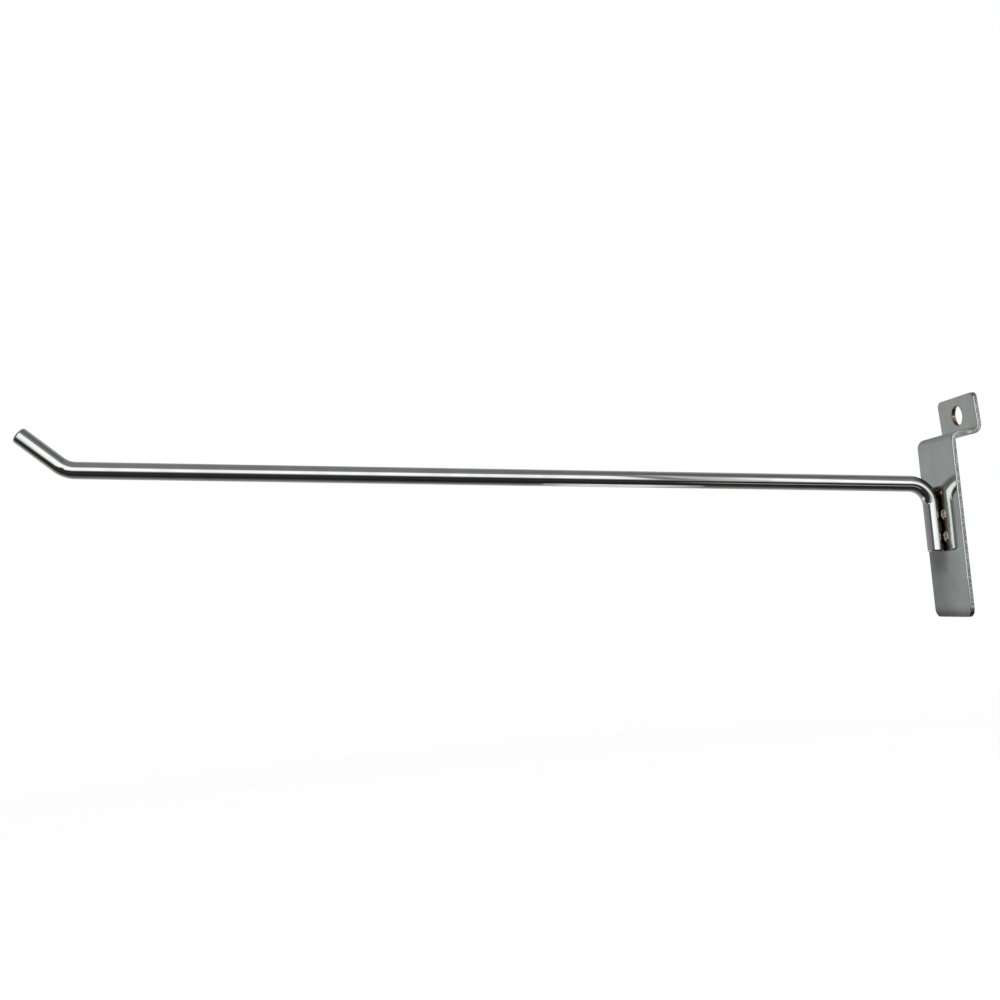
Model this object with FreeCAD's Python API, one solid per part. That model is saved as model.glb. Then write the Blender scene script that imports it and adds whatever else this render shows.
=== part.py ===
import FreeCAD, Part

import math
import os

# Slatwall hook: a stamped steel strip with a step in it, and a bent steel wire welded to its front.
# Frame: the origin is the centre of the strip's flat back, which lies against the slatwall.
# +X points out of the wall, +Y across the strip and +Z up. Sizes are millimetres and degrees.

# Strip
STRIP_WIDTH = 25.0
STRIP_THICKNESS = 1.5
STRIP_HEIGHT = 76.0           # overall, lower edge to the tab's upper edge
TAB_HEIGHT = 13.0             # top of the step to the tab's upper edge
LIP_GAP = 8.5                 # room for the slat's lip, from the wall's face back to the tab's foot
STEP_RISE = 0.5               # slope of the step that passes through the slot
TAB_LEAN = 3.0                # the tab leans back towards the wall's face
BEND_INNER_RADIUS = 1.8
PLATE_CORNER_RADIUS = 3.0     # the two lower corners
TAB_CORNER_RADIUS = 2.2       # the two upper corners
HOLE_DIAMETER = 7.0
HOLE_DROP = 6.5               # tab's upper edge down to the hole's centre
FRONT_EDGE_ROLL = 0.35        # the punch rolls the front rim over
SHARP_EDGE_BREAK = 0.1        # the back rim and the hole's rims are nearly sharp

# Wire
WIRE_DIAMETER = 5.5
ARM_LENGTH = 289.6            # leg's axis to the tip's corner, along the arm
ARM_RISE = 5.0                # the arm climbs as it leaves the wall
ARM_HEIGHT = 46.5             # strip's lower edge up to the corner of leg and arm
LEG_LENGTH = 23.6             # corner of leg and arm down to the leg's cut end
LEG_BEND_RADIUS = 8.0         # on the wire's axis
TIP_LENGTH = 18.7             # tip's corner to the cut end
TIP_TURN = 36.5
TIP_BEND_RADIUS = 9.0         # on the wire's axis
WIRE_END_ROUND = 0.7
WIRE_OFFSET = -1.7            # the wire stands off the strip's middle line
SEAT_DEPTH = 0.1              # the weld presses this much of a flat on the leg

# Welds
WELD_DROP = 3.6               # corner of leg and arm down to the top weld
WELD_PITCH = 7.6              # from one weld down to the next
WELD_LENGTH = 5.0             # side weld, along the leg, as far as its whole domes would reach
WELD_RADIUS = 1.9
WELD_SINK = 0.9               # a weld is a low dome: its own axis lies behind the strip's front
WELD_SPREAD = 0.1             # a side weld's axis is beyond the wire's side
TOP_WELD_LENGTH = 7.5         # top weld, across the back of the bend
TOP_WELD_RADIUS = 1.9

SAME_PLACE = 0.01             # places nearer to each other than this count as one


def vec(x, y, z):
    return FreeCAD.Vector(x, y, z)


def heading(angle):
    """Unit vector in the XZ plane, at an angle from +X towards +Z."""
    return vec(math.cos(math.radians(angle)), 0, math.sin(math.radians(angle)))


def left_of(direction):
    """The heading a quarter turn further round, from +X towards +Z."""
    return vec(-direction.z, 0, direction.x)


class Bend:
    """The arc that joins two straight runs at their corner."""

    def __init__(self, corner, before, after, radius):
        turn = math.atan2(left_of(before).dot(after), before.dot(after))
        self.side = math.copysign(1, turn)
        self.turn = abs(turn)
        self.before = before
        self.after = after
        self.radius = radius
        reach = radius * math.tan(self.turn / 2)
        self.start = corner - before * reach
        self.end = corner + after * reach
        self.centre = self.start + left_of(before) * (radius * self.side)
        self.outward = (corner - self.centre).normalize()

    def arc(self, shift):
        """The bend's start, middle and end on a parallel, shifted to the path's left."""
        radius = self.radius - shift * self.side
        start = self.centre - left_of(self.before) * (radius * self.side)
        end = self.centre - left_of(self.after) * (radius * self.side)
        return start, self.centre + self.outward * radius, end


class Route:
    """A path in the XZ plane: straight runs, with a bend of its own radius at each corner."""

    def __init__(self, points, radii):
        self.start = points[0]
        self.end = points[-1]
        self.runs = [(b - a).normalize() for a, b in zip(points, points[1:])]
        self.bends = [Bend(*corner) for corner in zip(points[1:], self.runs, self.runs[1:], radii)]

    def edges(self, shift=0.0):
        """The path's parallel, shifted to its left, as lines and arcs in order."""
        edges = []
        here = self.start + left_of(self.runs[0]) * shift
        for bend in self.bends:
            start, middle, end = bend.arc(shift)
            edges.append(Part.LineSegment(here, start).toShape())
            edges.append(Part.Arc(start, middle, end).toShape())
            here = end
        last = self.end + left_of(self.runs[-1]) * shift
        edges.append(Part.LineSegment(here, last).toShape())
        return edges


# Strip's middle line, from its lower edge to the tab's upper edge
half_thickness = STRIP_THICKNESS / 2
bend_radius = BEND_INNER_RADIUS + half_thickness
rise = math.radians(STEP_RISE)
first_turn = math.radians(90 - STEP_RISE)
step_height = STRIP_HEIGHT - TAB_HEIGHT
first_corner_height = step_height - half_thickness / math.cos(rise) - half_thickness * math.tan(rise)
flat_height = first_corner_height - bend_radius * math.tan(first_turn / 2)
lower_edge = -flat_height / 2
strip_start = vec(half_thickness, 0, lower_edge)
first_corner = vec(half_thickness, 0, lower_edge + first_corner_height)
step_depth = LIP_GAP + STRIP_THICKNESS
second_corner = first_corner + vec(-step_depth, 0, step_depth * math.tan(rise))
tab_heading = heading(90 - TAB_LEAN)
tab_length = (lower_edge + STRIP_HEIGHT - second_corner.z) / tab_heading.z
tab_end = second_corner + tab_heading * tab_length
strip_route = Route([strip_start, first_corner, second_corner, tab_end], [bend_radius, bend_radius])
hole_centre = tab_end - tab_heading * HOLE_DROP

# Wire's axis, from the leg's cut end to the tip's
wire_radius = WIRE_DIAMETER / 2
leg_x = STRIP_THICKNESS + wire_radius - SEAT_DEPTH
arm_corner = vec(leg_x, WIRE_OFFSET, lower_edge + ARM_HEIGHT)
leg_end = arm_corner - vec(0, 0, LEG_LENGTH)
tip_corner = arm_corner + heading(ARM_RISE) * ARM_LENGTH
tip_end = tip_corner + heading(ARM_RISE + TIP_TURN) * TIP_LENGTH
wire_route = Route([leg_end, arm_corner, tip_corner, tip_end], [LEG_BEND_RADIUS, TIP_BEND_RADIUS])


def middle_of(edge):
    return edge.valueAt((edge.FirstParameter + edge.LastParameter) / 2)


def corner_edges(solid, place):
    """The short edges through the thickness at one end of the strip, one on each side."""
    found = []
    for edge in solid.Edges:
        middle = middle_of(edge)
        on_side = abs(abs(middle.y) - STRIP_WIDTH / 2) < SAME_PLACE
        if on_side and (vec(middle.x, 0, middle.z) - place).Length < SAME_PLACE:
            found.append(edge)
    return found


def rim_edges(solid, shift):
    """The rim of the strip's front or back skin, without the seams straight across its folds."""
    skin = Part.Wire(strip_route.edges(shift))
    skin.translate(vec(0, -STRIP_WIDTH / 2, 0))
    skin = skin.extrude(vec(0, STRIP_WIDTH, 0))
    rim = []
    for edge in solid.Edges:
        on_skin = skin.distToShape(Part.Vertex(middle_of(edge)))[0] < SAME_PLACE
        if on_skin and edge.Length < STRIP_WIDTH - SAME_PLACE:
            rim.append(edge)
    return rim


def make_back_plate():
    """The strip: its side view pushed across the width, then rounded, its rims eased and punched."""
    back = strip_route.edges(half_thickness)
    front = strip_route.edges(-half_thickness)
    lower_cap = Part.LineSegment(back[0].firstVertex().Point, front[0].firstVertex().Point).toShape()
    upper_cap = Part.LineSegment(back[-1].lastVertex().Point, front[-1].lastVertex().Point).toShape()
    side_view = Part.Face(Part.Wire(Part.__sortEdges__(back + front + [lower_cap, upper_cap])))
    side_view.translate(vec(0, -STRIP_WIDTH / 2, 0))
    strip = side_view.extrude(vec(0, STRIP_WIDTH, 0))
    strip = strip.makeFillet(PLATE_CORNER_RADIUS, corner_edges(strip, strip_start))
    strip = strip.makeFillet(TAB_CORNER_RADIUS, corner_edges(strip, tab_end))
    strip = strip.makeFillet(FRONT_EDGE_ROLL, rim_edges(strip, -half_thickness))
    strip = strip.makeChamfer(SHARP_EDGE_BREAK, rim_edges(strip, half_thickness))
    return strip.cut(hole_punch())


def hole_punch():
    """A cylinder across the tab, flared at both skins so that the hole's rims are broken."""
    through = left_of(tab_heading)
    radius = HOLE_DIAMETER / 2
    punch = Part.makeCylinder(radius, 2 * STRIP_THICKNESS, hole_centre - through * STRIP_THICKNESS, through)
    for outward in (through, through * -1):
        flare_start = hole_centre + outward * (half_thickness - SHARP_EDGE_BREAK)
        flare = Part.makeCone(radius, radius + 2 * SHARP_EDGE_BREAK, 2 * SHARP_EDGE_BREAK, flare_start, outward)
        punch = punch.fuse(flare)
    return punch


def make_hook_arm():
    """The wire: straight runs and turned bends on one axis, its ends eased and its leg flattened."""
    here = wire_route.start
    pieces = []
    for bend, run in zip(wire_route.bends, wire_route.runs):
        pieces.append(Part.makeCylinder(wire_radius, (bend.start - here).Length, here, run))
        disc = Part.Face(Part.Wire(Part.makeCircle(wire_radius, bend.start, run)))
        pieces.append(disc.revolve(bend.centre, vec(0, -bend.side, 0), math.degrees(bend.turn)))
        here = bend.end
    pieces.append(Part.makeCylinder(wire_radius, (wire_route.end - here).Length, here, wire_route.runs[-1]))
    wire = pieces[0].multiFuse(pieces[1:]).removeSplitter()
    wire = wire.makeFillet(WIRE_END_ROUND, [edge for edge in wire.Edges if is_end_rim(edge)])
    return wire.cut(wall_side()).Solids[0]


def is_end_rim(edge):
    centre = edge.CenterOfMass
    return min((centre - wire_route.start).Length, (centre - wire_route.end).Length) < SAME_PLACE


def wall_side():
    """A block of everything behind the strip's front face, larger than the whole hook."""
    reach = 2 * (STRIP_HEIGHT + ARM_LENGTH)
    return Part.makeBox(reach, reach, reach, vec(STRIP_THICKNESS - reach, -reach / 2, -reach / 2))


def bead(middle, along, length, radius):
    """A short run of weld metal with domed ends, turned about its own axis, its seam towards the wall."""
    wallward = vec(-1, 0, 0)
    slant = (along + wallward).normalize()
    first_dome = middle + along * (length / 2 - radius)
    last_dome = middle - along * (length / 2 - radius)
    first_end = first_dome + along * radius
    last_end = last_dome - along * radius
    first_shoulder = first_dome + wallward * radius
    last_shoulder = last_dome + wallward * radius
    outline = [
        Part.Arc(first_end, first_dome + slant * radius, first_shoulder).toShape(),
        Part.LineSegment(first_shoulder, last_shoulder).toShape(),
        Part.Arc(last_shoulder, last_dome + (slant - along * (2 * slant.dot(along))) * radius, last_end).toShape(),
        Part.LineSegment(last_end, first_end).toShape(),
    ]
    return Part.Face(Part.Wire(outline)).revolve(middle, along, 360)


def make_welds(hook_arm):
    """The weld beads, each cut to the faces of the strip and the wire that it has run against."""
    across = vec(0, 1, 0)
    down = vec(0, 0, -1)
    top = vec(STRIP_THICKNESS - WELD_SINK, WIRE_OFFSET, arm_corner.z - WELD_DROP)
    beads = {"top_weld": bead(top, across, TOP_WELD_LENGTH, TOP_WELD_RADIUS)}
    for side, sign in (("right", 1), ("left", -1)):
        seam = top + across * (sign * (wire_radius + WELD_SPREAD))
        for row, level in enumerate(("middle", "lower"), start=1):
            place = seam + down * (row * WELD_PITCH)
            beads[f"{side}_{level}_weld"] = bead(place, down, WELD_LENGTH, WELD_RADIUS)
    welds = {}
    for name, metal in beads.items():
        run_in = metal.cut(wall_side()).cut(hook_arm)
        welds[name] = max(run_in.Solids, key=lambda solid: solid.Volume)
    return welds


def main():
    hook_arm = make_hook_arm()
    nodes = {"back_plate": make_back_plate(), "hook_arm": hook_arm}
    nodes.update(make_welds(hook_arm))
    os.makedirs("parts", exist_ok=True)
    for name, shape in nodes.items():
        shape.exportStep(f"parts/{name}.step")
        print(f"{name}: {len(shape.Solids)} solid, valid {shape.isValid()}, {shape.Volume:.2f} mm3")


main()
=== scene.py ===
"""Looks of a chrome-plated slatwall hook: a stamped strip with a welded wire arm, in a plain studio.

Everything is in metres, in the part's own frame: the origin is the centre of the strip's flat back,
+X points out of the wall, +Y across the strip and +Z up.
"""

import logging
from dataclasses import dataclass
from enum import Enum
from math import atan2, ceil, copysign, cos, exp, hypot, pi, radians, remainder, sin, sqrt, tan
from typing import Callable, Optional, Sequence, Union

import bpy
from bpy.types import ID, Material, Node, NodeSocket, NodeTree, Object
from mathutils import Matrix, Vector, geometry, noise


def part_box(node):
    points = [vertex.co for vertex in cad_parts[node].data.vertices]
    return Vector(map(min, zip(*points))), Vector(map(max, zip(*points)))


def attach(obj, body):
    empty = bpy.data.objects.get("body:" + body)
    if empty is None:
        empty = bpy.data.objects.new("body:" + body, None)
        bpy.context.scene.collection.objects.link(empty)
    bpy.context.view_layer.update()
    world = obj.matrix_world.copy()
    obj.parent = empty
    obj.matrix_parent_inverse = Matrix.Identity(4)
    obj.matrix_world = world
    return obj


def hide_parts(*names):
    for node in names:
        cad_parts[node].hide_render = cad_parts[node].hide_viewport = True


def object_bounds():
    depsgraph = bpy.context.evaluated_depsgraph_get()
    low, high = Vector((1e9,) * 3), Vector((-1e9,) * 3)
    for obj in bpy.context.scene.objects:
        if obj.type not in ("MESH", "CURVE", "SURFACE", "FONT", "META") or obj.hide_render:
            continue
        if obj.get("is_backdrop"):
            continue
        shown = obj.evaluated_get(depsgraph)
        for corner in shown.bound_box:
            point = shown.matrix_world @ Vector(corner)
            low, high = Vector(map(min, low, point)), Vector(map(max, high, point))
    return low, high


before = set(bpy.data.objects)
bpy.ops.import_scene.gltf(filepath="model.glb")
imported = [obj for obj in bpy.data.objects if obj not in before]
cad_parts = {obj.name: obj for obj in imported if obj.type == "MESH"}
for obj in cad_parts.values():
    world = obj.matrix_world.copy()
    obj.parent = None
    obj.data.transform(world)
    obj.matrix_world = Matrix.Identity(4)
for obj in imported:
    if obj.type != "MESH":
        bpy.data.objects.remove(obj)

LOG = logging.getLogger("slatwall_hook")
MM = 0.001
WALLWARD = Vector((-1.0, 0.0, 0.0))
SIDEWARD = Vector((0.0, 1.0, 0.0))
UPWARD = Vector((0.0, 0.0, 1.0))
WHITE = (1.0, 1.0, 1.0, 1.0)
Colour = tuple[float, float, float]
Point = tuple[float, float]
Face = tuple[int, ...]
# how fast finer layers of a noise fade, how much finer each is, and how many there are
Fractal = tuple[float, float, int]


class Slot(Enum):
    """The record's material slots."""

    STRIP = "strip_chrome"
    WIRE = "wire_chrome"
    WELD = "weld_metal"


class Side(Enum):
    """The two sides of the wire's leg, by the sign of their Y."""

    RIGHT = 1
    LEFT = -1


class Skin(Enum):
    """The two broad faces of the strip, by the sign of their depth from its middle line."""

    FRONT = 1
    BACK = -1


# Shader expressions


class Signal:
    """One output socket that carries a number. Arithmetic on it adds Math nodes."""

    def __init__(self, graph: "Graph", socket: NodeSocket) -> None:
        """Wraps an output socket of one of the graph's nodes."""
        self.graph = graph
        self.socket = socket

    def __add__(self, other: "Number") -> "Signal":
        """Sum."""
        return self.graph.maths("ADD", self, other)

    def __radd__(self, other: float) -> "Signal":
        """Sum with a plain number on the left."""
        return self.graph.maths("ADD", other, self)

    def __sub__(self, other: "Number") -> "Signal":
        """Difference."""
        return self.graph.maths("SUBTRACT", self, other)

    def __rsub__(self, other: float) -> "Signal":
        """Difference from a plain number."""
        return self.graph.maths("SUBTRACT", other, self)

    def __mul__(self, other: "Number") -> "Signal":
        """Product."""
        return self.graph.maths("MULTIPLY", self, other)

    def __rmul__(self, other: float) -> "Signal":
        """Product with a plain number on the left."""
        return self.graph.maths("MULTIPLY", other, self)

    def __pow__(self, other: float) -> "Signal":
        """Power."""
        return self.graph.maths("POWER", self, other)

    def at_least(self, other: "Number") -> "Signal":
        """The larger of two."""
        return self.graph.maths("MAXIMUM", self, other)

    def distance(self, other: "Signal") -> "Signal":
        """How far a point is from where two of its numbers are 0."""
        return (self ** 2 + other ** 2) ** 0.5

    def fade(self, start: float, end: float) -> "Signal":
        """A smooth step along this value.

        Args:
            start: the value at which the step is 0.
            end: the value at which the step is 1, which may be the smaller.

        Returns:
            A number from 0 to 1.
        """
        rising = start < end
        inputs = {0: self, 1: min(start, end), 2: max(start, end), 3: float(not rising), 4: float(rising)}
        return self.graph.signal("ShaderNodeMapRange", {"interpolation_type": "SMOOTHSTEP"}, inputs)


Number = Union[Signal, float]
Link = Union[Signal, NodeSocket, float, tuple]


class Graph:
    """The nodes of one material or world."""

    def __init__(self, tree: NodeTree) -> None:
        """Empties a node tree to fill it anew."""
        self.tree = tree
        tree.nodes.clear()

    def node(self, kind: str, settings: dict, inputs: dict) -> Node:
        """Adds one node.

        Args:
            kind: the node's type.
            settings: its own settings, which are set first.
            inputs: a value or a link for each input socket, by name or by number.

        Returns:
            The node.
        """
        made = self.tree.nodes.new(kind)
        for name, value in settings.items():
            setattr(made, name, value)
        for name, value in inputs.items():
            source = value.socket if isinstance(value, Signal) else value
            if isinstance(source, NodeSocket):
                self.tree.links.new(source, made.inputs[name])
            else:
                made.inputs[name].default_value = source
        return made

    def shader(self, kind: str, inputs: dict) -> NodeSocket:
        """Adds a shader, and gives back its output."""
        return self.node(kind, {}, inputs).outputs[0]

    def glow(self, colour: Link, strength: float) -> NodeSocket:
        """Adds a surface that shines by its own light."""
        return self.shader("ShaderNodeEmission", {"Color": colour, "Strength": strength})

    def mix(self, factor: Signal, first: Link, second: Link) -> NodeSocket:
        """Adds a mix of two shaders."""
        return self.shader("ShaderNodeMixShader", {0: factor, 1: first, 2: second})

    def finish(self, shader: NodeSocket, output: str = "ShaderNodeOutputMaterial") -> None:
        """Ends the graph in a shader."""
        self.node(output, {}, {"Surface": shader})

    def signal(self, kind: str, settings: dict, inputs: dict, output: Union[int, str] = 0) -> Signal:
        """Adds one node and wraps one of its outputs as a number; the arguments are those of node()."""
        return Signal(self, self.node(kind, settings, inputs).outputs[output])

    def maths(self, operation: str, *values: Number) -> Signal:
        """Adds a Math node for an operation on its values."""
        return self.signal("ShaderNodeMath", {"operation": operation}, dict(enumerate(values)))

    def place(self) -> NodeSocket:
        """The point's place in the part's frame, because each piece's object sits at the origin."""
        return self.node("ShaderNodeTexCoord", {}, {}).outputs["Object"]

    def axes(self, vector: NodeSocket) -> tuple[Signal, Signal, Signal]:
        """The three numbers of a vector."""
        parts = self.node("ShaderNodeSeparateXYZ", {}, {0: vector})
        return tuple(Signal(self, socket) for socket in parts.outputs)

    def cloud(self, vector: NodeSocket, size: float, detail: float = 2.0) -> Signal:
        """Soft noise from 0 to 1, with features of a size in metres and a number of finer layers."""
        inputs = {"Vector": vector, "Scale": 1.0 / size, "Detail": detail}
        return self.signal("ShaderNodeTexNoise", {}, inputs, "Fac")

    def blend(self, factor: Number, first: Link, second: Link) -> NodeSocket:
        """Adds a mix of two colours."""
        inputs = {0: factor, 6: self.opaque(first), 7: self.opaque(second)}
        return self.node("ShaderNodeMix", {"data_type": "RGBA"}, inputs).outputs[2]

    @staticmethod
    def opaque(colour: Link) -> Link:
        """A plain colour with its fourth number, or the link as it is."""
        return (*colour, 1.0) if isinstance(colour, tuple) else colour

    def bump(self, height: Signal, depth: float, below: Optional[Link] = None) -> NodeSocket:
        """A normal that is tilted by a height.

        Args:
            height: the height, from 0 to 1.
            depth: how far the surface rises from 0 to 1, in metres.
            below: the normal under it, or none.

        Returns:
            The normal.
        """
        inputs = {"Height": height, "Distance": depth, "Strength": 1.0}
        if below is not None:
            inputs["Normal"] = below
        return self.node("ShaderNodeBump", {}, inputs).outputs[0]


def new_material(name: str) -> tuple[Material, Graph]:
    """Makes an empty node material.

    Args:
        name: its name.

    Returns:
        The material and its graph.
    """
    material = bpy.data.materials.new(name)
    material.use_nodes = True
    return material, Graph(material.node_tree)


# Finishes


@dataclass(frozen=True)
class HeatTintAndShade:
    """The stain that the welder's heat and the plating bath leave beside the wire, and painted shade that
    turns it near-black in the crevice along the line of contact.
    """

    seam: Point
    seam_top: float
    seam_bottom: float
    reach: float
    haze: float = 0.34
    end: float = 1.2 * MM
    foot_end: float = 0.3 * MM
    skin: float = 0.6 * MM
    wander: float = 0.30
    wander_size: float = 2.4 * MM
    patch_size: float = 1.9 * MM
    patch_edge: Point = (0.47, 0.58)
    haze_edge: Point = (0.02, 0.2)
    dull_edge: Point = (0.02, 0.12)
    film_edge: Point = (0.20, 0.48)
    brown_edge: Point = (0.52, 0.68)
    crevice_shade_edge: Point = (0.66, 0.80)
    dull: Colour = (0.42, 0.45, 0.47)
    olive: Colour = (0.22, 0.185, 0.135)
    straw: Colour = (0.42, 0.27, 0.11)
    brown: Colour = (0.17, 0.080, 0.038)
    # painted shade: near-black in the crevice along the line of contact
    crevice_shade: Colour = (0.030, 0.025, 0.021)

    def nearness(self, graph: Graph, place: NodeSocket) -> Signal:
        """How near the line of contact a point is.

        Args:
            graph: the material's graph.
            place: the point's place.

        Returns:
            1 on the line, and 0 beyond the stain's reach or at the back.
        """
        x, y, z = graph.axes(place)
        off_seam = (x - self.seam[0]).distance(y - self.seam[1])
        uneven = graph.cloud(place, self.wander_size, detail=3.0) - 0.5
        near = 1.0 - off_seam * (1.0 / self.reach) + uneven * self.wander
        below_top = z.fade(self.seam_top + self.end, self.seam_top)
        above_foot = z.fade(self.seam_bottom - self.foot_end, self.seam_bottom)
        in_front = x.fade(self.seam[0] - 2 * self.skin, self.seam[0] - self.skin)
        return near.at_least(0.0) * below_top * above_foot * in_front

    def colour(self, graph: Graph, place: NodeSocket, near: Signal, clean: Link) -> NodeSocket:
        """The plating's colour, with the heat stain and the painted crevice shade.

        Args:
            graph: the material's graph.
            place: the point's place.
            near: how near the line of contact the point is.
            clean: the plating's colour away from the stain.

        Returns:
            The colour.
        """
        patches = graph.cloud(place, self.patch_size, detail=1.0).fade(*self.patch_edge)
        film = graph.blend(patches, self.olive, self.straw)
        outer = graph.blend(near.fade(*self.dull_edge), clean, self.dull)
        middle = graph.blend(near.fade(*self.film_edge), outer, film)
        inner = graph.blend(near.fade(*self.brown_edge), middle, self.brown)
        # painted crevice shade over the stain, nearest the line of contact
        return graph.blend(near.fade(*self.crevice_shade_edge), inner, self.crevice_shade)


@dataclass(frozen=True)
class PaintedShade:
    """Painted shade on the strip's colour: darker towards one broad side, a painted shadow below the wire's
    foot, and darker along the lower edge.
    """

    side: Point
    height: Point
    side_loss: float
    patch: Point
    patch_reach: float
    patch_loss: float
    lower_edge: Point
    lower_loss: float
    wander: float = 6 * MM
    wander_size: float = 7 * MM
    patch_wander: float = 0.4
    patch_core: float = 0.2

    def factor(self, graph: Graph, place: NodeSocket) -> Signal:
        """How much of the colour the painted shade leaves.

        Args:
            graph: the material's graph.
            place: the point's place.

        Returns:
            A number from 0 to 1.
        """
        _, y, z = graph.axes(place)
        wander = (graph.cloud(place, self.wander_size) - 0.5) * self.wander
        broad = (y + wander).fade(*self.side) * z.fade(*self.height) * self.side_loss
        off_patch = (y - self.patch[0]).distance(z - self.patch[1]) + wander * self.patch_wander
        close = off_patch.fade(self.patch_reach, self.patch_core * self.patch_reach) * self.patch_loss
        low = z.fade(*self.lower_edge) * self.lower_loss
        return (1.0 - broad) * (1.0 - close) * (1.0 - low)


@dataclass(frozen=True)
class PlatedFinish:
    """Bright chromium plating over drawn or rolled steel."""

    name: str
    colour: Colour
    haze: float
    grain: Colour
    ripple: float
    # the heat stain, with painted crevice shade along the line of contact
    tint: HeatTintAndShade
    painted_shade: Optional[PaintedShade] = None
    mottling: float = 0.88
    mottle_size: float = 9 * MM
    mottle_edge: Point = (0.35, 0.7)
    mottle_haze: float = 0.02
    line_width: float = 0.12 * MM
    line_depth: float = 0.0006 * MM
    line_haze: float = 0.03
    speck_size: float = 0.5 * MM
    speck_edge: Point = (0.66, 0.78)
    speck_haze: float = 0.05
    ripple_size: float = 14 * MM

    def build(self) -> Material:
        """Makes the material.

        Returns:
            The material.
        """
        material, graph = new_material(self.name)
        place = graph.place()
        mottle = graph.cloud(place, self.mottle_size, detail=3.0)
        drawn_out = graph.node("ShaderNodeVectorMath", {"operation": "MULTIPLY"}, {0: place, 1: self.grain})
        fine_lines = graph.cloud(drawn_out.outputs[0], self.line_width, detail=4.0)
        specks = graph.cloud(place, self.speck_size).fade(*self.speck_edge)
        near = self.tint.nearness(graph, place)
        deep = tuple(channel * self.mottling for channel in self.colour)
        clean = graph.blend(mottle.fade(*self.mottle_edge), self.colour, deep)
        # painted shade: darkens the strip's colour towards one side, below the wire's foot and along the
        # lower edge
        if self.painted_shade:
            clean = graph.blend(self.painted_shade.factor(graph, place), (0.0, 0.0, 0.0), clean)
        stained = near.fade(*self.tint.haze_edge) * self.tint.haze
        worn = mottle * self.mottle_haze + fine_lines * self.line_haze + specks * self.speck_haze
        waves = graph.bump(graph.cloud(place, self.ripple_size, detail=1.0), self.ripple)
        graph.finish(graph.shader("ShaderNodeBsdfPrincipled", {
            "Base Color": self.tint.colour(graph, place, near, clean),
            "Metallic": 1.0,
            "Roughness": self.haze + worn + stained,
            "Normal": graph.bump(fine_lines, self.line_depth, waves),
        }))
        return material


@dataclass(frozen=True)
class CutEdgeFinish:
    """A sheared edge: a bright rubbed land, then broken metal that the plating only half fills."""

    name: str
    bright: Colour = (0.54, 0.55, 0.54)
    dull: Colour = (0.30, 0.31, 0.30)
    haze: float = 0.38
    haze_loss: float = 0.14
    grit_size: float = 0.55 * MM
    grit_depth: float = 0.008 * MM
    grit_share: float = 0.65
    patch_size: float = 2.4 * MM
    worn_edge: Point = (0.42, 0.6)

    def build(self) -> Material:
        """Makes the material.

        Returns:
            The material.
        """
        material, graph = new_material(self.name)
        place = graph.place()
        grit = graph.cloud(place, self.grit_size, detail=3.0)
        patches = graph.cloud(place, self.patch_size)
        worn = (grit * self.grit_share + patches * (1.0 - self.grit_share)).fade(*self.worn_edge)
        graph.finish(graph.shader("ShaderNodeBsdfPrincipled", {
            "Base Color": graph.blend(worn, self.dull, self.bright),
            "Metallic": 1.0,
            "Roughness": self.haze - worn * self.haze_loss,
            "Normal": graph.bump(grit, self.grit_depth),
        }))
        return material


@dataclass(frozen=True)
class WeldFinish:
    """Thinly plated weld metal: lumpy, bright where it runs out on the strip, and burnt by the wire, where
    it also carries painted crevice shade.
    """

    name: str
    seam: Point
    clear: Point = (3.0 * MM, 3.6 * MM)
    bright: Colour = (0.88, 0.76, 0.69)
    # painted shade: near-black by the wire in the crevice, over the weld's heat burn
    burnt_and_shaded: Colour = (0.060, 0.036, 0.022)
    haze: float = 0.40
    haze_loss: float = 0.14
    lump_size: float = 0.9 * MM
    lump_depth: float = 0.03 * MM
    wander: float = 0.8 * MM

    def build(self) -> Material:
        """Makes the material.

        Returns:
            The material.
        """
        material, graph = new_material(self.name)
        place = graph.place()
        x, y, _ = graph.axes(place)
        lumps = graph.cloud(place, self.lump_size, detail=3.0)
        off_seam = (x - self.seam[0]).distance(y - self.seam[1])
        clear = (off_seam + (lumps - 0.5) * self.wander).fade(*self.clear)
        graph.finish(graph.shader("ShaderNodeBsdfPrincipled", {
            # dark nearest the seam: heat burn with painted crevice shade
            "Base Color": graph.blend(clear, self.burnt_and_shaded, self.bright),
            "Metallic": 1.0,
            "Roughness": self.haze - clear * self.haze_loss,
            "Normal": graph.bump(lumps, self.lump_depth),
        }))
        return material


# Paths


def heading(angle: float) -> Vector:
    """Unit vector in the XZ plane, at an angle in radians from +X towards +Z."""
    return Vector((cos(angle), 0.0, sin(angle)))


def right_of(direction: Vector) -> Vector:
    """The heading a quarter turn back, from +Z towards +X."""
    return Vector((direction.z, 0.0, -direction.x))


def spaced(start: float, end: float, step: float) -> list[float]:
    """Even places from start up to but not including end, no further apart than a step."""
    count = max(1, ceil((end - start) / step))
    return [start + (end - start) * i / count for i in range(count)]


@dataclass(frozen=True)
class Leg:
    """A straight run of a path, whose turn is 0, or an arc, beginning at a distance along the path."""

    begin: float
    length: float
    start: Vector
    direction: Vector
    turn: float

    def at(self, along: float) -> tuple[Vector, Vector]:
        """The leg at a distance along the path.

        Args:
            along: the distance.

        Returns:
            The place and the unit direction.
        """
        part = along - self.begin
        if not self.turn:
            return self.start + self.direction * part, self.direction
        radius = copysign(self.length / abs(self.turn), self.turn)
        angle = atan2(self.direction.z, self.direction.x)
        turned = heading(angle + self.turn * part / self.length)
        return self.start - right_of(self.direction) * radius + right_of(turned) * radius, turned


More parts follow.
